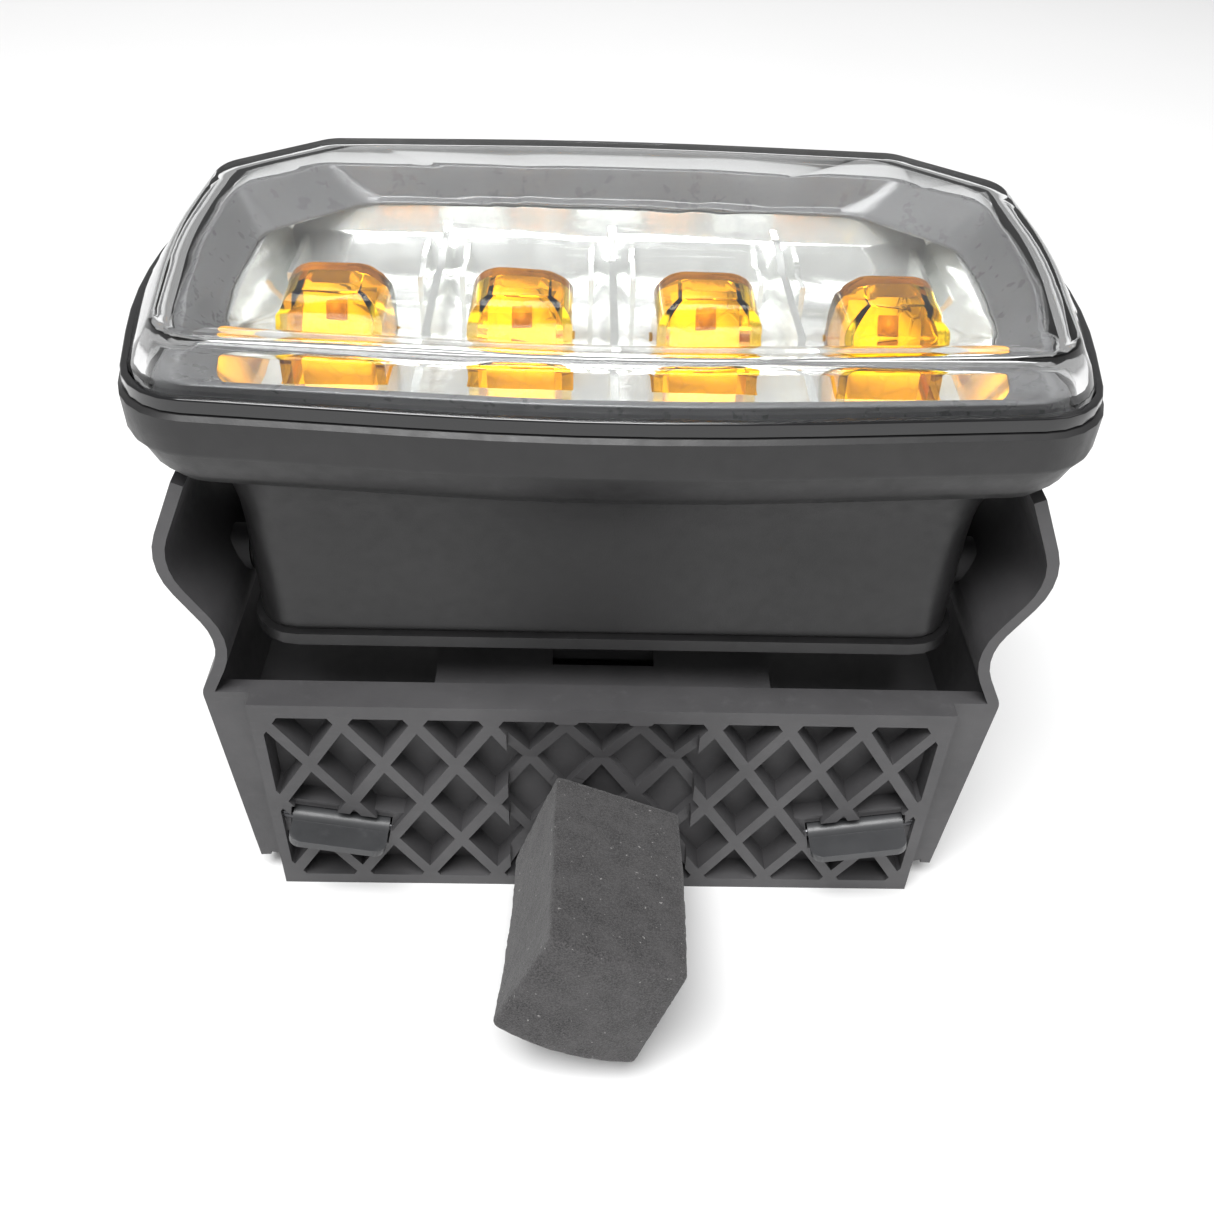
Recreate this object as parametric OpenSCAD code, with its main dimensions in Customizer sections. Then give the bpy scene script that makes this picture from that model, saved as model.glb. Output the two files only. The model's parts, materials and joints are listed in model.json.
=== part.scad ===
// Fog light: four amber-capped LEDs behind a deep clear lens, on a moulded bracket.
// The lens faces +Z and the lattice side of the bracket faces -Y.
// The origin is the centre of the four base inserts, on the plane that the bracket stands on.

/* [Lamp head] */
// Half the width of the rim
rim_half_w = 85.5; // [84.5:0.5:87]
// Reach of the rim towards the lattice side
rim_near = 46.4; // [46:0.2:47]
// Reach of the rim away from the lattice side
rim_far = 48; // [47:0.5:49]
// Height of the top edge of the rim
rim_z = 122; // [121.8:0.1:122.4]
// Half the width of the lens face
face_half_w = 74.6; // [74:0.2:75.4]
// Height of the edge of the lens face
face_z = 135.6; // [135:0.2:137]
// Thickness of the lens
lens_t = 2.6; // [2.2:0.1:2.8]

/* [Light units] */
// Distance from one LED to the next
led_pitch = 32.4; // [31:0.2:32.8]
// Width of an amber cap
cap_w = 18; // [17:0.5:19]
// Depth of an amber cap, front to back
cap_l = 16.6; // [16:0.2:17]
// Height of an amber cap above its board
cap_h = 17.2; // [16.6:0.1:17.6]
// Top of the circuit board that carries the LEDs
board_z = 109.6; // [109.6:0.1:109.8]

/* [Housing] */
// Half the width of the neck
neck_half_w = 66.6; // [66.4:0.1:66.8]
// Wall of the neck
neck_wall = 2.5; // [2.2:0.1:2.6]
// Lower end of the neck
neck_z = 67.4; // [67:0.1:67.6]

/* [Bracket] */
// Front plane of the lattice
lattice_y = -36; // [-36.4:0.1:-35.8]
// Height of the lattice block
block_h = 55; // [54.8:0.1:55.4]
// Distance between lattice nodes along a row
rib_pitch = 14.6; // [14:0.1:15.2]
// Distance between rows of lattice nodes
row_pitch = 11.48; // [11:0.02:12]
// Width of a lattice rib
rib_w = 2.4; // [1.8:0.1:2.6]
// Depth of the lattice pockets
pocket_d = 5.4; // [4:0.1:5.8]
// Thickness of the curved side walls
side_t = 2.2; // [1.8:0.1:2.4]

/* [Latches] */
// Distance of each latch from the middle
latch_x = 54.5; // [54:0.1:55]
// Height of the latch pivots
latch_z = 19; // [18.5:0.1:19.5]
// Slope of each latch, down towards the middle
latch_tilt = 11; // [9:0.5:12]
// Width of a latch tongue
latch_w = 20; // [18:0.5:20]

/* [Foam block] */
// Width of the foam block
foam_w = 28; // [26:0.5:30]
// Length of the foam block
foam_l = 45.5; // [44:0.5:46]
// Thickness of the foam block
foam_h = 25; // [23:0.5:26]

/* [Hidden] */
$fn = 48;
eps = 0.01;
arc_steps = 5;

// Rim and face outlines: corners as [x, y, radius]
rim_right = [
    [77, -40.3, 14], [rim_half_w, 0, 120], [82, 30, 16], [62, 46.2, 16]
];
face_near = 43.7;
face_far = 44;
face_right = [
    [69.5, -39.8, 9], [face_half_w, -4, 150], [73.6, 26.6, 7], [55.5, 41, 7]
];
window_right = [
    [62.6, -33.4, 8], [67.2, -4, 150], [66, 20, 10], [49, 34.4, 10]
];
window_near = 36.8;
bezel_foot = 2;
bezel_near_k = 0.3;
window_far = 36.8;

// Reflector: opening at the top, floor and walls
mirror_top = 122.6;
mirror_floor = 112;
mirror_skin = 1.2;
mirror_top_x = 65.8;
mirror_top_y = 35.6;
mirror_floor_x = 61;
mirror_floor_y = 22;
divider_t = 1.4;
mirror_flange_d = 7.7;

// Circuit boards and heat sink
board_t = 1.6;
board_x = 63;
board_y = 23.6;
board_screw_at = [32.4, 17.4];
pad_t = 0.5;
sink_base_t = 3;
sink_top = board_z - board_t - pad_t;
sink_low = sink_top - sink_base_t;
fin_low = 88;
driver_z = 75.6;
link_x = 49;
link_ys = [8, 10, 12, 14];

// Neck, cover and their screws
neck_near = 27;
neck_far = 30;
neck_flare = [[0, neck_z], [0, 88], [0.3, 93], [1, 97], [2.1, 100.6], [3.6, 103.6], [4, 105]];
side_gap = 3.2;
neck_corners = [
    [-neck_half_w, -neck_near, 8], [neck_half_w, -neck_near, 8],
    [neck_half_w, neck_far, 8], [-neck_half_w, neck_far, 8]
];
column_at = [[-58.6, -19], [58.6, -19], [58.6, 22], [-58.6, 22]];
column_r = 4.5;
seal_t = 0.8;
cover_t = 2.6;
cover_top = neck_z - seal_t;
post_at = [[-44, -8], [44, -8], [44, 11], [-44, 11]];
floor_low = 104.4;
floor_t = 2.8;

// Bracket screws, socket and vent
side_screw_ys = [-8, 10];
side_screw_z = 71.8;
socket_z = 78;
vent_x = -35;

// Bracket
flange_y = lattice_y + 3.5;
wall_back_y = lattice_y + 7;
back_y = 34;
floor_z = 36.5;
floor_thick = 2.5;
step_z = 50;
step_half_w = 34;
step_back_y = 14;
side_path = [[73.8, 104, 0], [82, 86, 15], [71.5, 67.4, 12], [77.6, block_h, 5], [73.9, 5, 0]];
side_pad_x = 73.6;
insert_at = [[-58, -20], [58, -20], [58, 20], [-58, 20]];
insert_depth = 12;
insert_r = 4;
insert_hole_r = 2.5;

// Light units: middle of a cap, and the slope that an LED sits on
cap_y = -3.8;
cap_wall = 1.7;
led_at = [-3.4, 119.8];
led_slope = 45;

// Latch: the pivot axis is the local X axis
pivot_y = lattice_y + 2;
latch_play = 0.4;
pin_r = 1;
pin_l = 26;
hub_r = 2.6;
hub_bore_r = 1.05;
spring_gap = 8;
spring_pocket_r = 2.15;
tongue_t = 1.8;
tongue_out = 7.8;
window_half_h = 3.1;
wire_r = 0.3;
leg_r = 0.36;
coil_r = 1.5;
coil_turns = 5;
coil_pitch = 1.1;

// Foam: middle of its back face at the top, roll about its length and rise towards the front
foam_at = [3.9, -38, 29];
foam_seat = 4.5;
foam_rise = 9.6;
foam_roll = 20.9;

/* Outlines and lofts */

function heading(a, b) = atan2(b[1] - a[1], b[0] - a[0]);
function left_of(angle) = [-sin(angle), cos(angle)];
function signed(angle) = angle > 180 ? angle - 360 : angle < -180 ? angle + 360 : angle;

// Points round corner b on the way from a to c, each with the normal to the left
function bend_points(a, b, c) =
    let (
        first = heading(a, b),
        bend = signed(heading(b, c) - first),
        side = sign(bend),
        reach = b[2] * tan(abs(bend) / 2),
        start = [b[0] - reach * cos(first), b[1] - reach * sin(first)],
        centre = start + side * b[2] * left_of(first)
    )
    [for (i = [0:arc_steps])
        let (angle = first + bend * i / arc_steps)
        [centre - side * b[2] * left_of(angle), left_of(angle)]];

function closed_line(corners) =
    let (n = len(corners))
    [for (i = [0:n - 1]) each bend_points(corners[(i + n - 1) % n], corners[i], corners[(i + 1) % n])];

function open_line(path) =
    let (n = len(path), last = heading(path[n - 2], path[n - 1]))
    concat(
        [[[path[0][0], path[0][1]], left_of(heading(path[0], path[1]))]],
        [for (i = [1:n - 2]) each bend_points(path[i - 1], path[i], path[i + 1])],
        [[[path[n - 1][0], path[n - 1][1]], left_of(last)]]
    );

function shifted(line, by) = [for (p = line) p[0] + by * p[1]];
function reversed(list) = [for (i = [len(list) - 1:-1:0]) list[i]];
function mixed(a, b, t) = [for (i = [0:len(a) - 1]) (1 - t) * a[i] + t * b[i]];
function at_height(points, z) = [for (p = points) [p[0], p[1], z]];

function both_sides(near, right, far) = concat(
    [[0, -near, 400]],
    right,
    [[0, far, 500]],
    [for (c = reversed(right)) [-c[0], c[1], c[2]]]
);

rim_line = closed_line(both_sides(rim_near, rim_right, rim_far));
face_line = closed_line(both_sides(face_near, face_right, face_far));
window_line = closed_line(both_sides(window_near, window_right, window_far));
neck_line = closed_line(neck_corners);

// A ring at height z, inset by d, part t of the way from the rim outline to the face outline
function head_ring(t, d, z) = at_height(shifted(mixed(rim_line, face_line, t), d), z);
function window_ring(d, z) = at_height(shifted(window_line, d), z);
function face_ring(scale, z) = [for (p = shifted(face_line, 0)) [p[0] * scale, p[1] * scale, z]];

function strip(n, low, high) = [
    for (i = [0:n - 1])
        let (next = (i + 1) % n)
        each [
            [low * n + i, high * n + i, high * n + next],
            [low * n + i, high * n + next, low * n + next]
        ]
];

// A closed band: rings run up the outside and down the inside
module ring_band(rings) {
    n = len(rings[0]);
    m = len(rings);
    polyhedron(
        points = [for (ring = rings) each ring],
        faces = [for (j = [0:m - 1]) each strip(n, j, (j + 1) % m)],
        convexity = 6
    );
}

// A solid: rings run up the outside, with a flat cap at each end
module ring_solid(rings) {
    n = len(rings[0]);
    m = len(rings);
    polyhedron(
        points = [for (ring = rings) each ring],
        faces = concat(
            [for (j = [0:m - 2]) each strip(n, j, j + 1)],
            [[for (i = [0:n - 1]) i]],
            [[for (i = [n - 1:-1:0]) (m - 1) * n + i]]
        ),
        convexity = 4
    );
}

// An open cover: outer rings run up, inner rings run down, with a cap on each
module ring_cover(outer, inner) {
    rings = concat(outer, inner);
    n = len(rings[0]);
    m = len(rings);
    top = len(outer) - 1;
    polyhedron(
        points = [for (ring = rings) each ring],
        faces = concat(
            [for (j = [0:m - 1]) if (j != top) each strip(n, j, (j + 1) % m)],
            [[for (i = [n - 1:-1:0]) top * n + i]],
            [[for (i = [0:n - 1]) (top + 1) * n + i]]
        ),
        convexity = 6
    );
}

module at_each(places, z = 0) {
    for (p = places)
        translate([p[0], p[1], z])
            children();
}

module screw(shank_r, shank_l, head_r, head_h) {
    difference() {
        union() {
            cylinder(r = shank_r, h = shank_l + eps);
            translate([0, 0, shank_l])
                cylinder(r = head_r, h = head_h);
        }
        translate([0, 0, shank_l + head_h * 0.4])
            cylinder(r = head_r * 0.5, h = head_h, $fn = 6);
    }
}

// Extrudes a profile drawn in X and Z from y_back to y_front
module along_y(y_front, y_back) {
    translate([0, y_back, 0])
        rotate([90, 0, 0])
            linear_extrude(y_back - y_front)
                children();
}

/* Lens and trim */

module outer_lens() {
    foot_z = rim_z + 0.5;
    inner = lens_t;
    color([0.9, 0.93, 0.95, 0.4])
        ring_cover(
            [
                head_ring(0, 2.3, foot_z),
                head_ring(0, 2.3, rim_z + 3),
                head_ring(0.3, 1.7, rim_z + 6.5),
                head_ring(0.68, 0.7, rim_z + 10),
                head_ring(0.94, 0.05, face_z - 0.9),
                head_ring(1, 0.35, face_z - 0.25),
                head_ring(1, 1, face_z),
                face_ring(0.9, face_z + 0.4),
                face_ring(0.6, face_z + 0.95),
                face_ring(0.3, face_z + 1.2)
            ],
            [
                face_ring(0.3, face_z + 1.2 - inner),
                face_ring(0.6, face_z + 0.95 - inner),
                face_ring(0.9, face_z + 0.4 - inner),
                head_ring(1, inner + 1, face_z - inner),
                head_ring(0.94, inner + 0.2, face_z - inner - 0.9),
                head_ring(0.68, inner + 0.7, rim_z + 9.2),
                head_ring(0.3, inner + 1.7, rim_z + 6),
                head_ring(0, inner + 2.3, rim_z + 2.6),
                head_ring(0, inner + 2.3, foot_z)
            ]
        );
}

module lens_frame() {
    color([0.03, 0.03, 0.035])
        ring_band([
            head_ring(0, 2.9, rim_z - 4.4),
            head_ring(0, 2.9, rim_z + 0.15),
            head_ring(0, 0.9, rim_z + 0.15),
            head_ring(0, 0.9, rim_z + 2.4),
            head_ring(0, 1.2, rim_z + 2.7),
            head_ring(0, 2.2, rim_z + 2.7),
            head_ring(0, 2.2, rim_z + 0.5),
            head_ring(0, 5.4, rim_z + 0.5),
            head_ring(0, 5.4, rim_z - 4.4)
        ]);
}

module lens_seal() {
    color([0.12, 0.12, 0.12])
        translate([0, 0, rim_z - 5])
            linear_extrude(0.6)
                difference() {
                    polygon(shifted(rim_line, 3));
                    polygon(shifted(rim_line, 5.3));
                }
}

// A head ring that keeps low along the near side, so that the light units show below the lens edge
function bezel_ring(t, d, lift) = [
    for (p = shifted(mixed(rim_line, face_line, t), d))
        let (
            near = min(1, max(0, (-p[1] - 12) / 22)),
            k = 1 - (1 - bezel_near_k) * near,
            up = lift > bezel_foot ? bezel_foot + (lift - bezel_foot) * k : lift
        )
        [p[0], p[1], rim_z + up]
];

module inner_bezel() {
    skin = 1;
    color([0.2, 0.2, 0.21])
        ring_band([
            bezel_ring(0, 5.8, -0.9),
            bezel_ring(0.05, 5.5, 2.6),
            bezel_ring(0.3, 4.7, 5.8),
            bezel_ring(0.42, 4.4, 6.9),
            bezel_ring(0.5, 4.8, 7.5),
            bezel_ring(0.6, 5.6, 7.5),
            window_ring(-1.2, rim_z + 2.1),
            window_ring(0, rim_z + 1.4),
            window_ring(0, rim_z + 0.8),
            window_ring(-1.4, rim_z + 0.9),
            bezel_ring(0.5, 5.6 + skin, 3.4),
            bezel_ring(0.3, 4.7 + skin, 4.2),
            bezel_ring(0.05, 5.5 + skin, 2.2),
            bezel_ring(0, 5.8 + skin, -0.9)
        ]);
}

/* Reflector and light units */

module mirror_profile_y(grow, low) {
    polygon([
        [-mirror_floor_y - grow, low],
        [mirror_floor_y + grow, low],
        [mirror_floor_y + 6.4 + grow, mirror_floor + 2.6],
        [mirror_top_y - 2.2 + grow, mirror_top - 4.5],
        [mirror_top_y + grow, mirror_top + eps],
        [-mirror_top_y - grow, mirror_top + eps],
        [-mirror_top_y + 2.2 - grow, mirror_top - 4.5],
        [-mirror_floor_y - 6.4 - grow, mirror_floor + 2.6]
    ]);
}

// Hollow of the reflector, grown by a skin, within an outline inset from the rim
module mirror_space(grow, low, inset) {
    intersection() {
        translate([0, 0, low - 1])
            linear_extrude(mirror_top - low + 2)
                polygon(shifted(rim_line, inset));
        rotate([90, 0, 90])
            translate([0, 0, -mirror_top_x - 5])
                linear_extrude(2 * mirror_top_x + 10)
                    mirror_profile_y(grow, low);
        along_y(-50, 50)
            polygon([
                [-mirror_floor_x - grow, low - 1],
                [mirror_floor_x + grow, low - 1],
                [mirror_top_x + grow, mirror_top + 1],
                [-mirror_top_x - grow, mirror_top + 1]
            ]);
    }
}

module mirror_walls() {
    for (i = [-1:1])
        translate([i * led_pitch - divider_t / 2, -mirror_top_y, mirror_floor - 1])
            cube([divider_t, 2 * mirror_top_y, 9]);
    for (i = [-1.5:1.5], side = [-1, 1])
        translate([i * led_pitch + side * 12.2 - 0.5, 15, mirror_floor - 1])
            cube([1, 20, 6.5]);
}

module reflector() {
    flange_t = 1.2;
    color([0.93, 0.94, 0.95])
        difference() {
            union() {
                mirror_space(mirror_skin, mirror_floor - mirror_skin, mirror_flange_d);
                translate([0, 0, mirror_top - flange_t])
                    linear_extrude(flange_t)
                        polygon(shifted(rim_line, mirror_flange_d));
            }
            difference() {
                translate([0, 0, eps])
                    mirror_space(0, mirror_floor, mirror_flange_d + mirror_skin);
                mirror_walls();
            }
            for (i = [-1.5:1.5])
                translate([i * led_pitch - cap_w / 2 - 0.3, cap_y - cap_l / 2 - 0.3, mirror_floor - 3])
                    cube([cap_w + 0.6, cap_l + 0.6, 6]);
        }
}

// Arched outline of a cap seen from the front, shrunk by d
module arch(d) {
    corner = 5.6 - d * 0.6;
    half = cap_w / 2 - d;
    top = cap_h - d;
    union() {
        translate([-half, 0])
            square([2 * half, top - corner]);
        translate([-half + corner, 0])
            square([2 * (half - corner), top]);
        for (side = [-1, 1])
            translate([side * (half - corner), top - corner])
                circle(r = corner);
    }
}

// Outline of a cap seen from the side, shrunk by d, with a rounded front edge
module cap_side(d) {
    front = -cap_l / 2 + d;
    back = cap_l / 2 - d;
    top = cap_h - d;
    union() {
        polygon([[front, 0], [back, 0], [back, top - 9], [back - 4.6, top], [front + 4.5, top], [front, top - 4.5]]);
        translate([front + 4.5, top - 4.5])
            circle(r = 4.5);
    }
}

module cap_form(d) {
    intersection() {
        rotate([90, 0, 0])
            linear_extrude(cap_l, center = true)
                arch(d);
        rotate([90, 0, 90])
            linear_extrude(cap_w, center = true)
                cap_side(d);
    }
}

// An amber cap: a hollow arched hood on a flange
module amber_optic() {
    flange_t = 1.1;
    color([1, 0.6, 0.05, 0.8])
        translate([0, cap_y, board_z])
            difference() {
                union() {
                    cap_form(0);
                    translate([-cap_w / 2 - 1.2, -cap_l / 2 - 1.2, 0])
                        cube([cap_w + 2.4, cap_l + 2.4, flange_t]);
                }
                translate([0, 0, -eps])
                    cap_form(cap_wall);
            }
}

module led() {
    side = 3.5;
    color([0.95, 0.95, 0.85])
        translate([0, led_at[0], led_at[1]])
            rotate([led_slope, 0, 0]) {
                translate([-side / 2, -side / 2, 0])
                    cube([side, side, 0.8]);
                translate([0, 0, 0.8 - 0.2])
                    intersection() {
                        sphere(r = 1.5);
                        cylinder(r = 2, h = 2);
                    }
            }
}

// Wedges that carry the LEDs and throw their light forward
module led_carriers() {
    low = [led_at[0] - 5, led_at[1] - 5];
    high = [led_at[0] + 2.4, led_at[1] + 2.4];
    color([0.92, 0.92, 0.9])
        for (i = [-1.5:1.5])
            translate([i * led_pitch - 6, 0, 0])
                rotate([90, 0, 90])
                    linear_extrude(12)
                        polygon([[low[0], board_z], [low[0], low[1]], high, [high[0], board_z]]);
}

module led_board() {
    color([0.9, 0.9, 0.88])
        difference() {
            translate([-board_x, -board_y, board_z - board_t])
                cube([2 * board_x, 2 * board_y, board_t]);
            for (sx = [-1, 1], sy = [-1, 1])
                translate([sx * board_screw_at[0], sy * board_screw_at[1], board_z - 3])
                    cylinder(r = 1.7, h = 4);
            at_each([for (y = link_ys) [link_x, y]], board_z - 3)
                cylinder(r = 0.6, h = 4, $fn = 24);
        }
}

module thermal_pad() {
    color([0.55, 0.6, 0.65])
        translate([-47, -14, sink_top])
            cube([94, 28, pad_t]);
}

module heat_sink() {
    fins = 9;
    color([0.75, 0.76, 0.78])
        difference() {
            union() {
                translate([-62.4, -22.8, sink_low])
                    cube([124.8, 48.6, sink_base_t]);
                for (i = [0:fins - 1])
                    translate([-40.8 + i * 10, -18, fin_low])
                        cube([1.6, 39, sink_low - fin_low + eps]);
            }
            translate([link_x - 3, 5, sink_low - 1])
                cube([6, 12, sink_base_t + 2]);
            for (sx = [-1, 1], sy = [-1, 1])
                translate([sx * board_screw_at[0], sy * board_screw_at[1], sink_low - 1])
                    cylinder(r = 1.25, h = sink_base_t + 2);
            at_each(column_at, sink_low - 1) {
                cylinder(r = 1.7, h = sink_base_t + 2);
                translate([0, 0, sink_base_t - 0.7])
                    cylinder(r = 3, h = 4);
            }
        }
}

module board_screws() {
    color([0.7, 0.71, 0.73])
        for (sx = [-1, 1], sy = [-1, 1])
            translate([sx * board_screw_at[0], sy * board_screw_at[1], board_z - 5])
                screw(1.2, 5, 2.4, 0.9);
}

module heat_sink_screws() {
    color([0.7, 0.71, 0.73])
        at_each(column_at, sink_low - 8)
            screw(1.2, 9.3, 2.7, 1.5);
}

/* Driver */

module driver_board() {
    color([0.05, 0.3, 0.15])
        difference() {
            translate([-53, -12.5, driver_z - board_t])
                cube([106, 28, board_t]);
            at_each(post_at, driver_z - 3)
                cylinder(r = 1.5, h = 4);
            at_each([for (y = link_ys) [link_x, y]], driver_z - 3)
                cylinder(r = 0.6, h = 4, $fn = 24);
            at_each([for (x = [-5, 0, 5]) [x, 12]], driver_z - 3)
                cylinder(r = 0.8, h = 4, $fn = 24);
        }
}

module driver_chips() {
    color([0.06, 0.06, 0.07]) {
        translate([-9, -9, driver_z])
            cube([9, 9, 1.4]);
        translate([22, -6, driver_z])
            cube([6, 5, 1.5]);
        translate([30, -6, driver_z])
            cube([6, 5, 1.5]);
    }
}

module driver_coil() {
    color([0.45, 0.22, 0.1])
        translate([-24, 2, driver_z]) {
            cylinder(r = 6.5, h = 1);
            cylinder(r = 5.2, h = 7);
            translate([0, 0, 6])
                cylinder(r = 6.5, h = 1);
        }
}

module driver_capacitors() {
    color([0.2, 0.2, 0.28])
        for (y = [-4, 7])
            translate([14, y, driver_z])
                difference() {
                    cylinder(r = 4, h = 10);
                    translate([0, 0, 1.2])
                        rotate_extrude()
                            translate([4.1, 0])
                                circle(r = 0.5, $fn = 16);
                }
}

module board_link_pins() {
    color([0.8, 0.65, 0.3])
        at_each([for (y = link_ys) [link_x, y]], driver_z - board_t - 0.8)
            cylinder(r = 0.5, h = board_z - driver_z + board_t + 1.4, $fn = 24);
}

/* Housing and cover */

module housing() {
    groove_z = rim_z - 5;
    color([0.12, 0.12, 0.13])
        difference() {
            union() {
                ring_band([
                    head_ring(0, 13, floor_low),
                    head_ring(0, 9.2, floor_low + 0.3),
                    head_ring(0, 5.6, floor_low + 2),
                    head_ring(0, 3, floor_low + 5),
                    head_ring(0, 1.5, floor_low + 8.6),
                    head_ring(0, 1.1, floor_low + 9.9),
                    head_ring(0, 0.3, floor_low + 10.2),
                    head_ring(0, 0, floor_low + 11),
                    head_ring(0, 0, rim_z - 0.7),
                    head_ring(0, 0.7, rim_z),
                    head_ring(0, 2.7, rim_z),
                    head_ring(0, 2.7, groove_z),
                    head_ring(0, 5.6, groove_z),
                    head_ring(0, 5.6, rim_z - 1),
                    head_ring(0, 7.4, rim_z - 1),
                    head_ring(0, 7.4, groove_z - 2.5),
                    head_ring(0, 8.8, floor_low + 6),
                    head_ring(0, 13, floor_low + floor_t)
                ]);
                translate([0, 0, floor_low + 0.1])
                    linear_extrude(floor_t - 0.2)
                        polygon(shifted(rim_line, 11));
                ring_solid([for (s = neck_flare) at_height(shifted(neck_line, -s[0]), s[1])]);
                at_sides()
                    translate([0, 0, neck_half_w - 1])
                        cylinder(r = 4, h = side_gap + 1);
            }
            translate([0, 0, neck_z - 1])
                linear_extrude(floor_low + floor_t + 2 - neck_z)
                    difference() {
                        polygon(shifted(neck_line, neck_wall));
                        at_each(column_at)
                            circle(r = column_r);
                        for (c = column_at)
                            translate([c[0] + sign(c[0]) * 5 - 4, c[1] - 1.1])
                                square([8, 2.2]);
                    }
            at_sides()
                translate([0, 0, neck_half_w - neck_wall - 1])
                    cylinder(r = 1.65, h = 9);
            translate([0, 0, sink_low])
                linear_extrude(6)
                    polygon(shifted(neck_line, neck_wall));
            at_each(column_at, neck_z - 1)
                cylinder(r = 1.25, h = 11);
            at_each(column_at, sink_low - 9)
                cylinder(r = 1.25, h = 12);
            translate([-11.2, neck_far - neck_wall - 1, socket_z - 7.2])
                cube([22.4, neck_wall + 2, 14.4]);
            translate([vent_x, neck_far + 1, socket_z])
                rotate([90, 0, 0])
                    cylinder(r = 3.6, h = neck_wall + 3);
        }
}

// Places its children with +Z outwards at each side screw
module at_sides() {
    for (side = [-1, 1], y = side_screw_ys)
        translate([0, y, side_screw_z])
            rotate([0, side * 90, 0])
                children();
}

module rear_cover() {
    post_h = driver_z - board_t - cover_top;
    color([0.1, 0.1, 0.11])
        difference() {
            union() {
                translate([0, 0, cover_top - cover_t])
                    linear_extrude(cover_t)
                        polygon(shifted(neck_line, -1.4));
                at_each(post_at, cover_top - eps) {
                    cylinder(r = 3.2, h = post_h + eps);
                    cylinder(r = 1.4, h = post_h + 2.4);
                }
            }
            at_each(column_at, cover_top - cover_t - 1)
                cylinder(r = 1.7, h = cover_t + 2);
        }
}

module rear_cover_seal() {
    color([0.5, 0.2, 0.12])
        translate([0, 0, cover_top])
            linear_extrude(seal_t)
                difference() {
                    polygon(shifted(neck_line, 0.3));
                    polygon(shifted(neck_line, neck_wall - 0.3));
                }
}

module cover_screws() {
    color([0.7, 0.71, 0.73])
        at_each(column_at, cover_top - cover_t + 9.6)
            rotate([180, 0, 0])
                screw(1.2, 9.6, 2.8, 2);
}

module breather_vent() {
    color([0.2, 0.2, 0.21])
        translate([vent_x, neck_far, socket_z])
            rotate([-90, 0, 0]) {
                difference() {
                    cylinder(r = 6, h = 4);
                    for (a = [0:60:300])
                        rotate([0, 0, a])
                            translate([3.6, -0.8, 2.6])
                                cube([4, 1.6, 2]);
                }
                translate([0, 0, -neck_wall - 1.2])
                    cylinder(r = 3.5, h = neck_wall + 1.3);
            }
}

module connector_socket() {
    depth = 15;
    color([0.08, 0.08, 0.09])
        translate([0, neck_far, socket_z])
            difference() {
                union() {
                    translate([-15, 0, -10])
                        cube([30, 2, 20]);
                    translate([-12, 0, -8])
                        cube([24, depth, 16]);
                    translate([-10.9, -neck_wall - 1, -6.9])
                        cube([21.8, neck_wall + 2, 13.8]);
                    translate([-3, 0, 7.9])
                        cube([6, depth - 3, 2]);
                }
                translate([-10, 2, -6])
                    cube([20, depth, 12]);
                for (x = [-5, 0, 5])
                    translate([x, -neck_wall - 2, 0])
                        rotate([-90, 0, 0])
                            cylinder(r = 0.85, h = neck_wall + 6, $fn = 24);
            }
}

module connector_pins() {
    foot_y = 12;
    color([0.8, 0.65, 0.3])
        for (x = [-5, 0, 5]) {
            translate([x, foot_y - 0.7, socket_z])
                rotate([-90, 0, 0])
                    cylinder(r = 0.7, h = neck_far - foot_y + 12, $fn = 24);
            translate([x, foot_y, driver_z - board_t - 0.6])
                cylinder(r = 0.7, h = socket_z - driver_z + board_t + 0.8, $fn = 24);
        }
}

/* Bracket */

module side_wall() {
    line = open_line(side_path);
    along_y(flange_y, back_y)
        polygon(concat(shifted(line, 0), reversed(shifted(line, -side_t))));
}

module front_slab() {
    along_y(flange_y, wall_back_y)
        polygon([
            [-77.4, block_h], [-74.3, 10], [-72, 6.2], [-68.5, 5], [-68.5, 0],
            [68.5, 0], [68.5, 5], [72, 6.2], [74.3, 10], [77.4, block_h]
        ]);
}

// Ribs along one diagonal family: slope is 1 or -1
module rib_family(slope) {
    run = rib_pitch / 2 / row_pitch;
    angle = atan2(1, slope * run);
    for (k = [-8.5:8.5])
        translate([k * rib_pitch, 0, 50])
            rotate([0, -angle, 0])
                translate([-90, lattice_y - 1, -rib_w / 2])
                    cube([180, 12, rib_w]);
}

module lattice_pockets() {
    difference() {
        translate([-66.3, lattice_y - 1, 3])
            cube([132.6, pocket_d + 1, 48.6]);
        rib_family(1);
        rib_family(-1);
    }
}

// Hollow that deepens towards the foam block
module scoop() {
    rotate([90, 0, 90])
        translate([0, 0, -19])
            linear_extrude(38)
                polygon([
                    [lattice_y - 1, 51], [lattice_y + 0.4, 51], [lattice_y + 3.2, 38],
                    [lattice_y + 3.2, 12], [lattice_y + 0.4, 5], [lattice_y - 1, 5]
                ]);
}

module foam_solid(play) {
    translate(foam_at)
        rotate([-foam_rise, 0, 0])
            rotate([0, foam_roll, 0])
                translate([-foam_w / 2 - play, foam_seat - foam_l - play, -foam_h - play])
                    cube([foam_w + 2 * play, foam_l + 2 * play, foam_h + 2 * play]);
}

// Places its children, drawn for the right-hand side, at a latch: side is 1 or -1
module at_latch(side) {
    mirror([side < 0 ? 1 : 0, 0, 0])
        translate([latch_x, pivot_y, latch_z])
            rotate([0, -latch_tilt, 0])
                children();
}

module latch_surround() {
    translate([-13.4, 1 - 2 + 0.6, -5.4])
        cube([26.8, 5.2, 10.8]);
}

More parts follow.
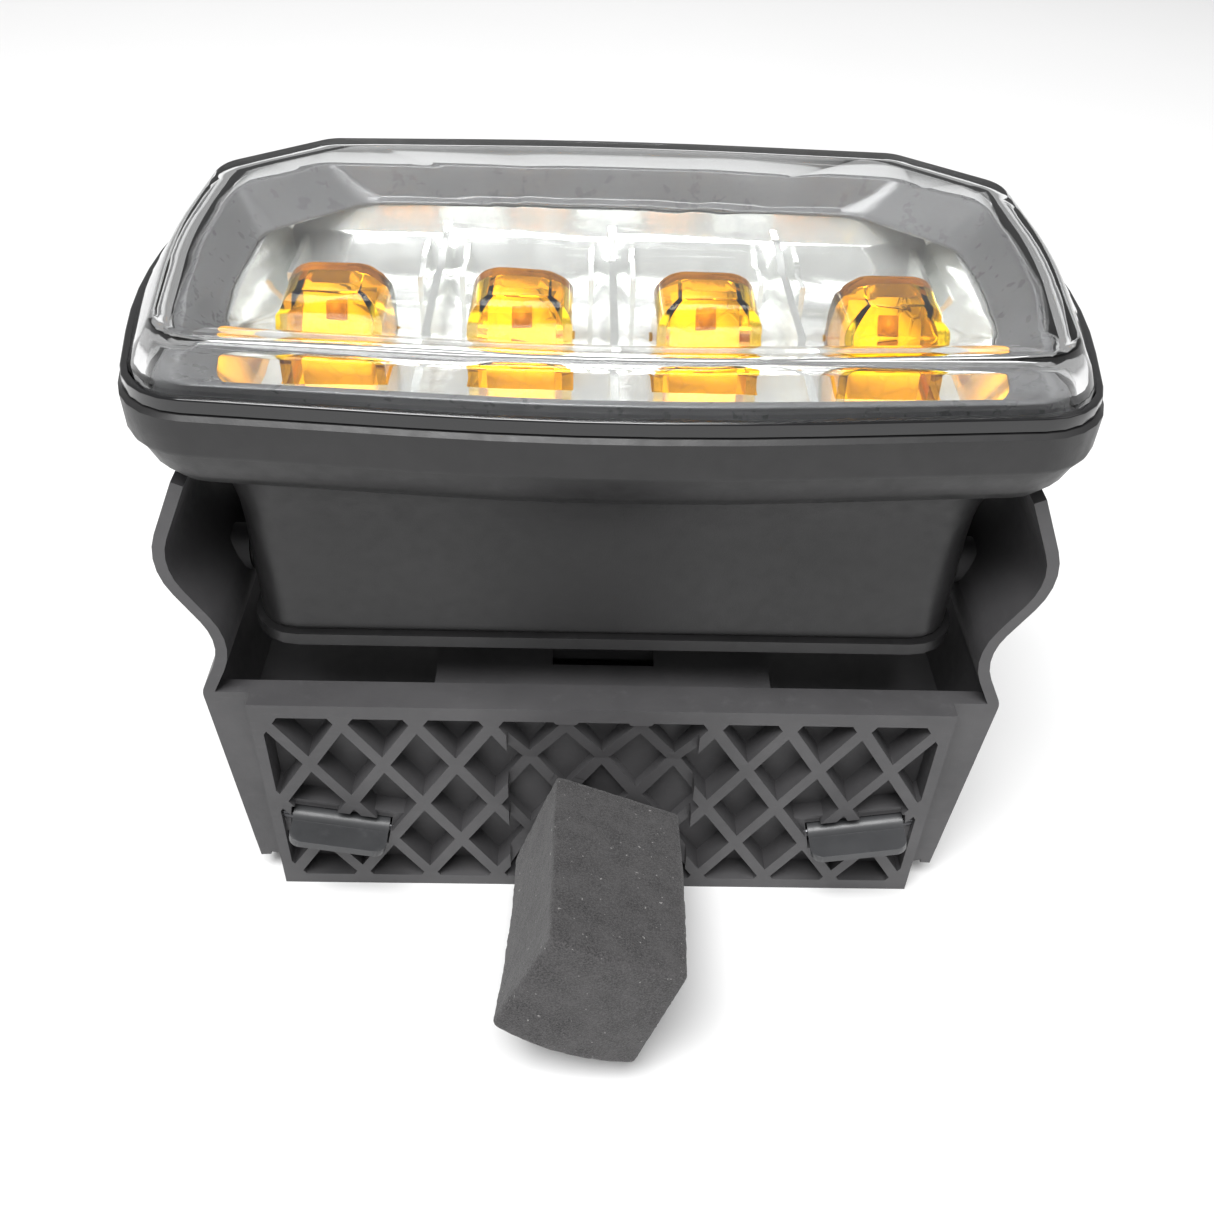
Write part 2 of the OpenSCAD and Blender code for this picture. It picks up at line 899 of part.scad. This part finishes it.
module latch_shelf() {
    difference() {
        translate([-7, -4.8, -window_half_h - 1])
            cube([14, 4.5, 2.8 - tongue_t / 2 + 0.8]);
        rotate([0, 90, 0])
            cylinder(r = hub_r + 0.3, h = 16, center = true);
    }
}

module latch_window() {
    half_w = latch_w / 2 + latch_play;
    translate([-half_w, -4, -window_half_h])
        cube([2 * half_w, 14, 2 * window_half_h]);
    translate([-half_w, -4, -tongue_t / 2 - 0.3])
        cube([2 * half_w, 4, window_half_h + tongue_t / 2 + 1.8]);
    rotate([0, 90, 0])
        cylinder(r = pin_r, h = pin_l, center = true);
}

module mounting_bracket() {
    inner_x = 74;
    color([0.13, 0.13, 0.14])
        difference() {
            union() {
                side_wall();
                mirror([1, 0, 0])
                    side_wall();
                front_slab();
                translate([-68.5, lattice_y, 0])
                    cube([137, flange_y - lattice_y + 1, block_h]);
                translate([-72.6, back_y - 2.5, 0])
                    cube([145.2, 2.5, 44]);
                translate([-inner_x, wall_back_y - 1, floor_z - floor_thick])
                    cube([2 * inner_x, back_y - wall_back_y, floor_thick]);
                translate([-step_half_w, wall_back_y - 1, floor_z - floor_thick])
                    cube([2 * step_half_w, step_back_y - wall_back_y + 1, step_z - floor_z + floor_thick]);
                at_each(insert_at)
                    cylinder(r = 6.5, h = floor_z - 1);
                for (x = [-58, 58])
                    translate([x - 1, 19, 0.6])
                        cube([2, back_y - 20, floor_z - 2]);
                at_sides()
                    translate([0, 0, neck_half_w + side_gap + 0.1])
                        cylinder(r = 4.6, h = side_pad_x - neck_half_w - side_gap - 0.1);
            }
            difference() {
                lattice_pockets();
                for (side = [-1, 1])
                    at_latch(side)
                        latch_surround();
            }
            scoop();
            foam_solid(0.4);
            translate([-step_half_w + 2.5, wall_back_y, -1])
                cube([2 * step_half_w - 5, step_back_y - wall_back_y - 2.5, step_z - 1.5]);
            translate([-10.5, -18, step_z - 4])
                cube([21, 4.6, 6]);
            for (side = [-1, 1])
                at_latch(side)
                    latch_window();
            at_each(insert_at, -1)
                cylinder(r = insert_r, h = insert_depth + 1);
            at_sides()
                translate([0, 0, neck_half_w + side_gap - 1])
                    cylinder(r = 2.2, h = 9);
            at_sides()
                translate([0, 0, side_pad_x])
                    cylinder(r = 4, h = 6);
        }
    color([0.13, 0.13, 0.14])
        for (side = [-1, 1])
            at_latch(side)
                latch_shelf();
}

module bracket_screws() {
    color([0.75, 0.76, 0.78])
        at_sides()
            translate([0, 0, side_pad_x - 9])
                screw(1.6, 9, 3.5, 2.4);
}

module bracket_inserts() {
    color([0.8, 0.65, 0.3])
        at_each(insert_at)
            difference() {
                cylinder(r = insert_r, h = insert_depth);
                translate([0, 0, -1])
                    cylinder(r = insert_hole_r, h = insert_depth + 2);
            }
}

module foam_block() {
    color([0.2, 0.2, 0.21])
        foam_solid(0);
}

/* Latches */

module latch() {
    hub_l = latch_w;
    difference() {
        union() {
            rotate([0, 90, 0])
                cylinder(r = hub_r, h = hub_l, center = true);
            translate([-latch_w / 2, -tongue_out + 2.5, -tongue_t / 2])
                cube([latch_w, tongue_out - 2.5, tongue_t]);
            translate([-latch_w / 2 + 2.5, -tongue_out, -tongue_t / 2])
                cube([latch_w - 5, 3, tongue_t]);
            for (side = [-1, 1])
                translate([side * (latch_w / 2 - 2.5), -tongue_out + 2.5, -tongue_t / 2])
                    cylinder(r = 2.5, h = tongue_t);
        }
        rotate([0, 90, 0])
            cylinder(r = hub_bore_r, h = hub_l + 2, center = true);
        rotate([0, 90, 0])
            cylinder(r = spring_pocket_r, h = spring_gap, center = true);
        translate([-spring_gap / 2, 0.3, -4])
            cube([spring_gap, 5, 8]);
    }
}

module latch_pin() {
    rotate([0, 90, 0])
        cylinder(r = pin_r, h = pin_l, center = true);
}

// Coil as a swept wire, with one leg to the back of the wall and one towards the tongue
function coil_point(turn) =
    [(turn - coil_turns / 2) * coil_pitch, -coil_r * sin(turn * 360), -coil_r * cos(turn * 360)];
function coil_circle(turn, sides) =
    let (
        centre = coil_point(turn),
        out = [0, -sin(turn * 360), -cos(turn * 360)]
    )
    [for (i = [0:sides - 1])
        let (a = i * 360 / sides)
        centre + wire_r * (cos(a) * out + sin(a) * [1, 0, 0])];

module latch_spring() {
    steps = 70;
    end_x = coil_turns / 2 * coil_pitch;
    ring_solid([for (i = [0:steps]) coil_circle(i * coil_turns / steps, 8)]);
    translate([end_x, 0.2, -coil_r])
        rotate([90, 0, 0])
            cylinder(r = leg_r, h = 1, $fn = 16);
    translate([-end_x, -0.2, -coil_r]) {
        rotate([-90, 0, 0])
            cylinder(r = leg_r, h = 6, $fn = 16);
        translate([0, 5.7, -5])
            cylinder(r = leg_r, h = 5.1, $fn = 16);
    }
}

outer_lens();
lens_frame();
lens_seal();
inner_bezel();
reflector();
for (i = [0:3])
    translate([(i - 1.5) * led_pitch, 0, 0]) {
        amber_optic();
        led();
    }
led_carriers();
led_board();
thermal_pad();
heat_sink();
board_screws();
heat_sink_screws();
driver_board();
driver_chips();
driver_coil();
driver_capacitors();
board_link_pins();
housing();
rear_cover();
rear_cover_seal();
cover_screws();
breather_vent();
connector_socket();
connector_pins();
mounting_bracket();
bracket_screws();
bracket_inserts();
foam_block();
for (side = [-1, 1])
    at_latch(side) {
        hand = side < 0 ? "left" : "right";
        color([0.05, 0.05, 0.06]) latch();
        color([0.7, 0.71, 0.73]) latch_pin();
        color([0.6, 0.6, 0.62]) latch_spring();
    }
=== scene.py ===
import json
import math

import bmesh
import bpy
from mathutils import Matrix, Vector, noise


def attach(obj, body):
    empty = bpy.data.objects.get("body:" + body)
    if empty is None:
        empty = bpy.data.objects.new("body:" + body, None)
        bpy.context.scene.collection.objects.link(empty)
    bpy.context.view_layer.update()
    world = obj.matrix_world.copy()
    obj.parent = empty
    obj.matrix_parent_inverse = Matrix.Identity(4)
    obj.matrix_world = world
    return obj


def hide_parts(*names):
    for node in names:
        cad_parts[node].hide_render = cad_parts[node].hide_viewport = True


MM = 0.001
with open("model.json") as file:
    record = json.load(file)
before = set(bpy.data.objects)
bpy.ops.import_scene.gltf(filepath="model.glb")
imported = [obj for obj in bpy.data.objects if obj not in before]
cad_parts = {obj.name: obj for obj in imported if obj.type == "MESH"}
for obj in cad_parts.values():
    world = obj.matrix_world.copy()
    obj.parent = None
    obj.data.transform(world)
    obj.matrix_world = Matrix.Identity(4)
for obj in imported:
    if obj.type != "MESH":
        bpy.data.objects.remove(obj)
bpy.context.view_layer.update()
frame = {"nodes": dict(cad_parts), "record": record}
scene = bpy.context.scene


# Camera at the photograph's viewing angle

LENS_MM = 36
SENSOR_MM = 36
CAMERA_PLACE = (-0.00562, -0.20012, 0.22199)

camera_data = bpy.data.cameras.new("camera")
camera_data.lens = LENS_MM
camera_data.sensor_width = SENSOR_MM
camera_data.clip_start = 0.01
camera = bpy.data.objects.new("camera", camera_data)
scene.collection.objects.link(camera)
scene.camera = camera
right = Vector((0.99954, -0.00719, 0.02968))
down = Vector((0.01785, -0.65108, -0.75880))
ahead = Vector((0.02478, 0.75898, -0.65064))
turn = Matrix((right, -down, -ahead)).transposed().to_4x4()
camera.matrix_world = Matrix.Translation(CAMERA_PLACE) @ turn


# Node helpers

NOISE_LOW, NOISE_HIGH = 0.3, 0.7
MIX_A, MIX_B, MIX_RESULT = 6, 7, 2


class Look:
    """A material's node tree, with short calls for the nodes that the looks share."""

    def __init__(self, name):
        self.material = bpy.data.materials.new(name)
        self.material.use_nodes = True
        self.tree = self.material.node_tree
        self.tree.nodes.clear()
        self.out = self.add("ShaderNodeOutputMaterial")
        self.place = self.add("ShaderNodeTexCoord").outputs["Object"]

    def add(self, kind, **values):
        node = self.tree.nodes.new(kind)
        for key, value in values.items():
            setattr(node, key, value)
        return node

    def link(self, source, target):
        if hasattr(source, "links"):
            self.tree.links.new(source, target)
        else:
            target.default_value = source

    def stretched(self, scale):
        node = self.add("ShaderNodeMapping")
        node.inputs["Scale"].default_value = scale
        self.link(self.place, node.inputs["Vector"])
        return node.outputs["Vector"]

    def noise(self, size, detail=3.0, rough=0.5, where=None):
        """Noise whose features are about size metres across."""
        node = self.add("ShaderNodeTexNoise")
        node.inputs["Scale"].default_value = 1 / size
        node.inputs["Detail"].default_value = detail
        node.inputs["Roughness"].default_value = rough
        self.link(where or self.place, node.inputs["Vector"])
        return node.outputs["Fac"]

    def cells(self, size, feature="F1"):
        node = self.add("ShaderNodeTexVoronoi", feature=feature)
        node.inputs["Scale"].default_value = 1 / size
        self.link(self.place, node.inputs["Vector"])
        return node.outputs["Distance"]

    def fit(self, value, low, high, to_low, to_high):
        node = self.add("ShaderNodeMapRange")
        self.link(value, node.inputs["Value"])
        limits = {"From Min": low, "From Max": high, "To Min": to_low, "To Max": to_high}
        for key, number in limits.items():
            node.inputs[key].default_value = number
        return node.outputs["Result"]

    def spread(self, value, to_low, to_high):
        """Fits the span where most of a noise lies."""
        return self.fit(value, NOISE_LOW, NOISE_HIGH, to_low, to_high)

    def blend(self, factor, a, b):
        node = self.add("ShaderNodeMix", data_type="RGBA")
        self.link(factor, node.inputs["Factor"])
        self.link(a, node.inputs[MIX_A])
        self.link(b, node.inputs[MIX_B])
        return node.outputs[MIX_RESULT]

    def math(self, operation, a, b=0.0):
        node = self.add("ShaderNodeMath", operation=operation)
        self.link(a, node.inputs[0])
        self.link(b, node.inputs[1])
        return node.outputs[0]

    def bump(self, height, depth, strength=1.0, under=None):
        """A bump whose full height is depth metres."""
        node = self.add("ShaderNodeBump")
        node.inputs["Strength"].default_value = strength
        node.inputs["Distance"].default_value = depth
        self.link(height, node.inputs["Height"])
        if under is not None:
            self.link(under, node.inputs["Normal"])
        return node.outputs["Normal"]

    def principled(self, **values):
        node = self.add("ShaderNodeBsdfPrincipled")
        for key, value in values.items():
            self.link(value, node.inputs[key.replace("_", " ")])
        return node.outputs["BSDF"]

    def done(self, shader):
        self.link(shader, self.out.inputs["Surface"])
        return self.material

    def done_clear(self, shader, tint):
        """Lets lamps reach what is behind the surface."""
        path = self.add("ShaderNodeLightPath")
        through = self.add("ShaderNodeBsdfTransparent")
        through.inputs["Color"].default_value = tint
        mix = self.add("ShaderNodeMixShader")
        self.link(path.outputs["Is Shadow Ray"], mix.inputs[0])
        self.link(shader, mix.inputs[1])
        self.link(through.outputs["BSDF"], mix.inputs[2])
        return self.done(mix.outputs["Shader"])


def rgb(r, g, b):
    return (r, g, b, 1.0)


# Materials

PLASTIC_IOR = 1.5
SCUFF_PALER = 1.5
SCUFF_LIFT = 0.006
SCUFF_SHARE = 0.25
SCUFF_ROUGHER = 0.07
COAT_ROUGH = 0.12


def moulded(name, dark, light, rough, grain, depth, coat=0.0):
    """Moulded plastic: fine grain, faint flow marks and handling scuffs."""
    look = Look(name)
    cloud = look.noise(22 * MM, 4)
    scuff = look.fit(look.noise(5 * MM, 8, 0.72, look.stretched((1, 1, 3))), 0.56, 0.7, 0, 1)
    colour = look.blend(look.fit(cloud, 0.35, 0.65, 0, 1), dark, light)
    pale = rgb(*(min(1.0, c * SCUFF_PALER + SCUFF_LIFT) for c in light[:3]))
    colour = look.blend(look.math("MULTIPLY", scuff, SCUFF_SHARE), colour, pale)
    roughness = look.spread(look.noise(3 * MM, 5, 0.6), rough - 0.06, rough + 0.07)
    roughness = look.math("ADD", roughness, look.math("MULTIPLY", scuff, SCUFF_ROUGHER))
    wave = look.bump(look.noise(30 * MM, 2), 0.2 * MM, 0.2)
    normal = look.bump(look.noise(grain, 3, 0.6), depth, 0.8, wave)
    return look.done(look.principled(
        Base_Color=colour, Roughness=roughness, Normal=normal,
        Coat_Weight=coat, Coat_Roughness=COAT_ROUGH, IOR=PLASTIC_IOR,
    ))


def clear_plastic(name, tint, shadow):
    """Clear plastic with faint haze and moulding waves. Its reflections are toned down by half."""
    look = Look(name)
    haze = look.fit(look.noise(9 * MM, 6, 0.65), 0.35, 0.75, 0, 0.02)
    wave = look.bump(look.noise(26 * MM, 2), 0.3 * MM, 0.03)
    shader = look.principled(
        Base_Color=tint, Roughness=haze, Normal=wave, Transmission_Weight=1.0,
        IOR=PLASTIC_IOR, Specular_Tint=rgb(0.5, 0.5, 0.5),
    )
    return look.done_clear(shader, shadow)


def mirror_coat(name):
    """Vacuum-metallised plastic, with a faint ripple from the moulding."""
    look = Look(name)
    ripple = look.bump(look.noise(7 * MM, 3), 0.25 * MM, 0.3)
    colour = look.blend(look.noise(14 * MM, 3), rgb(0.92, 0.93, 0.9), rgb(0.96, 0.97, 0.95))
    rough = look.spread(look.noise(4 * MM, 5), 0.1, 0.18)
    shader = look.principled(Base_Color=colour, Metallic=0.88, Roughness=rough, Normal=ripple)
    return look.done(shader)


def metal(name, a, b, rough, streak=(1, 1, 1)):
    look = Look(name)
    where = look.stretched(streak)
    colour = look.blend(look.noise(1.5 * MM, 5, 0.6, where), a, b)
    roughness = look.spread(look.noise(0.8 * MM, 5, 0.6, where), rough - 0.07, rough + 0.1)
    normal = look.bump(look.noise(0.35 * MM, 3, 0.5, where), 0.02 * MM, 0.7)
    shader = look.principled(Base_Color=colour, Metallic=1.0, Roughness=roughness, Normal=normal)
    return look.done(shader)


def soft_rubber(name, a, b, rough=0.75):
    look = Look(name)
    colour = look.blend(look.noise(3 * MM, 5, 0.6), a, b)
    normal = look.bump(look.noise(0.25 * MM, 3), 0.05 * MM, 0.7)
    roughness = look.spread(look.noise(1.5 * MM, 4), rough - 0.08, rough + 0.08)
    return look.done(look.principled(Base_Color=colour, Roughness=roughness, Normal=normal))


def circuit_board(name, mask, track):
    """Solder mask over copper tracks, seen as slightly raised cells."""
    look = Look(name)
    edges = look.fit(look.cells(4 * MM, "DISTANCE_TO_EDGE"), 0.04, 0.08, 1, 0)
    colour = look.blend(edges, mask, track)
    normal = look.bump(edges, 0.06 * MM, 0.7)
    rough = look.spread(look.noise(1 * MM, 4), 0.28, 0.42)
    return look.done(look.principled(Base_Color=colour, Roughness=rough, Normal=normal))


def phosphor(name):
    """LED package: ochre phosphor under clear resin."""
    look = Look(name)
    colour = look.blend(look.noise(0.7 * MM, 3), rgb(0.3, 0.2, 0.05), rgb(0.42, 0.32, 0.12))
    normal = look.bump(look.noise(0.2 * MM, 2), 0.02 * MM, 0.4)
    rough = look.spread(look.noise(0.5 * MM, 2), 0.25, 0.4)
    return look.done(look.principled(Base_Color=colour, Roughness=rough, Normal=normal))


def foam_look(name):
    """Open-cell foam: fine pores with painted shade in them, a faint mottle, and bright specks of
    lint.
    """
    look = Look(name)
    pores = look.fit(look.cells(0.42 * MM), 0.1, 0.55, 0, 1)
    fine = look.fit(look.noise(0.3 * MM, 3, 0.7), 0.35, 0.65, 0, 1)
    # Painted shade: the colour is darkened inside each pore, as shade in the holes, with a fine
    # random tone on top.
    pore_shade = look.math("MULTIPLY", pores, fine)
    colour = look.blend(pore_shade, rgb(0.027, 0.0262, 0.0268), rgb(0.102, 0.0985, 0.1))
    mottle = look.fit(look.noise(6 * MM, 6, 0.68), 0.38, 0.66, 0, 0.55)
    colour = look.blend(mottle, colour, rgb(0.098, 0.095, 0.096))
    lint = look.fit(look.noise(0.8 * MM, 1, 0.4), 0.75, 0.785, 0, 0.6)
    colour = look.blend(lint, colour, rgb(0.42, 0.41, 0.4))
    normal = look.bump(look.math("ADD", pores, fine), 0.1 * MM, 0.6)
    return look.done(look.principled(
        Base_Color=colour, Roughness=0.95, Normal=normal,
        Sheen_Weight=0.15, Sheen_Roughness=0.5, Specular_IOR_Level=0.15,
    ))


def recipes():
    """Recipe, slot, then the recipe's own values in order."""
    return (
        (clear_plastic, "clear_lens", rgb(0.98, 0.985, 0.985), rgb(0.93, 0.94, 0.94)),
        (
            moulded, "black_gloss", rgb(0.004, 0.004, 0.0045), rgb(0.007, 0.007, 0.008),
            0.12, 1.2 * MM, 0.01 * MM, 0.4,
        ),
        (soft_rubber, "seal_rubber", rgb(0.03, 0.03, 0.03), rgb(0.05, 0.05, 0.05)),
        (
            moulded, "grey_gloss", rgb(0.066, 0.066, 0.068), rgb(0.088, 0.088, 0.091),
            0.3, 0.8 * MM, 0.006 * MM, 0.2,
        ),
        (mirror_coat, "mirror_coat"),
        (clear_plastic, "amber", rgb(1.0, 0.62, 0.01), rgb(1.0, 0.82, 0.16)),
        (phosphor, "led_package"),
        (circuit_board, "white_board", rgb(0.78, 0.79, 0.76), rgb(0.7, 0.72, 0.7)),
        (soft_rubber, "pad_grey", rgb(0.3, 0.34, 0.37), rgb(0.4, 0.44, 0.47), 0.6),
        (metal, "sink_aluminium", rgb(0.68, 0.69, 0.71), rgb(0.8, 0.81, 0.83), 0.35, (1, 12, 1)),
        (metal, "zinc_steel", rgb(0.5, 0.5, 0.49), rgb(0.68, 0.68, 0.66), 0.32),
        (circuit_board, "green_board", rgb(0.015, 0.12, 0.05), rgb(0.03, 0.2, 0.08)),
        (
            moulded, "chip_black", rgb(0.012, 0.012, 0.013), rgb(0.022, 0.022, 0.024),
            0.5, 0.15 * MM, 0.02 * MM,
        ),
        (metal, "coil_copper", rgb(0.5, 0.2, 0.1), rgb(0.75, 0.36, 0.2), 0.35, (1, 1, 8)),
        (metal, "capacitor_can", rgb(0.2, 0.21, 0.3), rgb(0.32, 0.33, 0.42), 0.4),
        (metal, "contact_brass", rgb(0.62, 0.45, 0.18), rgb(0.85, 0.68, 0.36), 0.28),
        (
            moulded, "black_satin", rgb(0.011, 0.0108, 0.0112), rgb(0.016, 0.0156, 0.0162),
            0.42, 0.35 * MM, 0.025 * MM,
        ),
        (soft_rubber, "vent_grey", rgb(0.05, 0.05, 0.052), rgb(0.08, 0.08, 0.082)),
        (
            moulded, "socket_black", rgb(0.012, 0.012, 0.013), rgb(0.02, 0.02, 0.022),
            0.4, 0.4 * MM, 0.02 * MM,
        ),
        (
            moulded, "black_grained", rgb(0.06, 0.0588, 0.0612), rgb(0.08, 0.0784, 0.0812),
            0.5, 0.3 * MM, 0.03 * MM,
        ),
        (foam_look, "foam_grey"),
        (
            moulded, "latch_gloss", rgb(0.042, 0.043, 0.045), rgb(0.056, 0.057, 0.06),
            0.4, 0.8 * MM, 0.01 * MM, 0.1,
        ),
        (metal, "pin_steel", rgb(0.07, 0.07, 0.075), rgb(0.12, 0.12, 0.125), 0.35),
        (metal, "spring_steel", rgb(0.1, 0.1, 0.105), rgb(0.17, 0.17, 0.175), 0.35),
    )


looks = {slot: make(slot, *values) for make, slot, *values in recipes()}


# CAD nodes: real materials, and moulded edges rounded

WELD_REACH = 0.002 * MM
SHARP_ANGLE = math.radians(32)
BEVEL_STEPS = 2
FLAT_FACE_WEIGHT = 80

soft_edges = {
    "housing": 0.25,
    "mounting_bracket": 0.3,
    "lens_frame": 0.15,
    "inner_bezel": 0.25,
    "rear_cover": 0.3,
    "connector_socket": 0.3,
    "breather_vent": 0.3,
    "latch_left": 0.3,
    "latch_right": 0.3,
    "reflector": 0.2,
}
for number in range(1, 5):
    soft_edges[f"amber_optic_{number}"] = 0.3


def smooth(obj):
    """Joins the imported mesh's split corners, rounds the listed edges and keeps flat faces flat."""
    weld = obj.modifiers.new("weld", "WELD")
    weld.merge_threshold = WELD_REACH
    if obj.name in soft_edges:
        bevel = obj.modifiers.new("soft_edges", "BEVEL")
        bevel.width = soft_edges[obj.name] * MM
        bevel.segments = BEVEL_STEPS
        bevel.limit_method = "ANGLE"
        bevel.angle_limit = SHARP_ANGLE
        bevel.use_clamp_overlap = True
    flat = obj.modifiers.new("flat_faces", "WEIGHTED_NORMAL")
    flat.mode = "FACE_AREA"
    flat.weight = FLAT_FACE_WEIGHT
    for polygon in obj.data.polygons:
        polygon.use_smooth = True


for part in frame["record"]["subparts"]:
    obj = frame["nodes"][part["node"]]
    obj.data.materials.clear()
    obj.data.materials.append(looks[part["material_slot"]])
    smooth(obj)


# Foam block: a cut block of open-cell foam with pitted faces and softened edges

foam_w, foam_l, foam_h = 28 * MM, 45.5 * MM, 25 * MM
foam_seat = 4.5 * MM
foam_edge = 1.1 * MM
foam_step = 0.8 * MM
foam_droop = math.radians(-9.6)
foam_twist = math.radians(20.9)
foam_place = (
    Matrix.Translation((3.9 * MM, -38 * MM, 29 * MM))
    @ Matrix.Rotation(foam_droop, 4, "X")
    @ Matrix.Rotation(foam_twist, 4, "Y")
)
SPREAD_LEFT, SPREAD_RIGHT, SAG, BOW = 2.2, 1.3, 1.8, 0.9
PORES_PER_METRE, PORE_DEPTH = 1100, 0.14
WAVES_PER_METRE, WAVE_DEPTH = 90, 0.25
SKIN_DEPTH, HIGHEST_BUMP = 0.16, 0.12
EDGE_SHARE = 0.35


def cut_end(point):
    """The free end is cut unevenly: it spreads to the left, and its lower edge bows out."""
    across, along, up = point.x / foam_w * 2, 0.5 - point.y / foam_l, point.z / foam_h * 2
    low = (1 - up) / 2
    left = (1 - across) / 2
    free = along ** 2
    side = -SPREAD_LEFT * left * low * free - SPREAD_RIGHT * (1 - left) * free
    drop = -SAG * (1 - across * across) * low * free
    bow = -BOW * (1 - across * across) * along ** 6
    return point + Vector((side, bow, drop)) * MM


def cut_cube():
    """A unit cube whose faces are cut into a grid of about foam_step."""
    mesh = bmesh.new()
    bmesh.ops.create_cube(mesh, size=1)
    for axis, length in enumerate((foam_w, foam_l, foam_h)):
        count = round(length / foam_step)
        for i in range(1, count):
            centre = Vector((0, 0, 0))
            normal = Vector((0, 0, 0))
            centre[axis] = i / count - 0.5
            normal[axis] = 1
            every_part = mesh.verts[:] + mesh.edges[:] + mesh.faces[:]
            bmesh.ops.bisect_plane(mesh, geom=every_part, plane_co=centre, plane_no=normal)
    return mesh


def foam_mesh():
    """The block with rounded edges and pitted faces. Pits are half as deep on its edges."""
    mesh = cut_cube()
    half = Vector((foam_w, foam_l, foam_h)) / 2
    middle = Vector((0, foam_seat - foam_l / 2, -foam_h / 2))
    for vert in mesh.verts:
        point = Vector(vert.co[i] * 2 * half[i] for i in range(3))
        inner = Vector(
            max(-half[i] + foam_edge, min(half[i] - foam_edge, point[i])) for i in range(3)
        )
        out = (point - inner).normalized()
        point = inner + out * foam_edge
        pores = noise.fractal(point * PORES_PER_METRE, 0.6, 2.0, 4) * PORE_DEPTH
        waves = noise.noise(point * WAVES_PER_METRE) * WAVE_DEPTH
        faces_met = sum(abs(out[i]) > EDGE_SHARE for i in range(3))
        edge = 1 if faces_met == 1 else 0.5
        point -= out * (SKIN_DEPTH + max(-HIGHEST_BUMP, pores + waves) * edge) * MM
        vert.co = foam_place @ (cut_end(point) + middle)
    data = bpy.data.meshes.new("foam")
    mesh.to_mesh(data)
    mesh.free()
    return data


foam = bpy.data.objects.new("foam", foam_mesh())
scene.collection.objects.link(foam)
for polygon in foam.data.polygons:
    polygon.use_smooth = True
foam.data.materials.append(looks["foam_grey"])
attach(foam, "lamp")
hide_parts("foam_block")


# Floor and light

FLOOR_SIZE = 8
WORLD_STRENGTH = 0.36


def floor_look():
    """Plain, pale and matt."""
    look = Look("floor")
    colour = look.blend(look.noise(200 * MM, 3), rgb(0.8, 0.8, 0.8), rgb(0.83, 0.83, 0.83))
    return look.done(look.principled(Base_Color=colour, Roughness=0.8))


bpy.ops.mesh.primitive_plane_add(size=FLOOR_SIZE)
floor = bpy.context.object
floor.name = "floor"
floor.data.materials.append(floor_look())


def softbox(name, place, target, size, power):
    """A rectangular area light that faces the target."""
    light = bpy.data.lights.new(name, "AREA")
    light.shape = "RECTANGLE"
    light.size, light.size_y = size
    light.energy = power
    obj = bpy.data.objects.new(name, light)
    scene.collection.objects.link(obj)
    obj.location = place
    obj.rotation_euler = (Vector(target) - Vector(place)).to_track_quat("-Z", "Y").to_euler()


head = (0, 0, 0.1)
softbox("key", (-0.22, -0.58, 1.5), head, (1.0, 0.75), 34)
softbox("fill", (0.9, -0.4, 0.8), head, (0.7, 0.7), 1.2)
softbox("back", (0.1, 0.7, 1.1), head, (1.2, 0.4), 3)

world = bpy.data.worlds.new("studio")
scene.world = world
world.use_nodes = True
world.node_tree.nodes["Background"].inputs["Color"].default_value = (1, 1, 1, 1)
world.node_tree.nodes["Background"].inputs["Strength"].default_value = WORLD_STRENGTH
scene.view_settings.view_transform = "Standard"
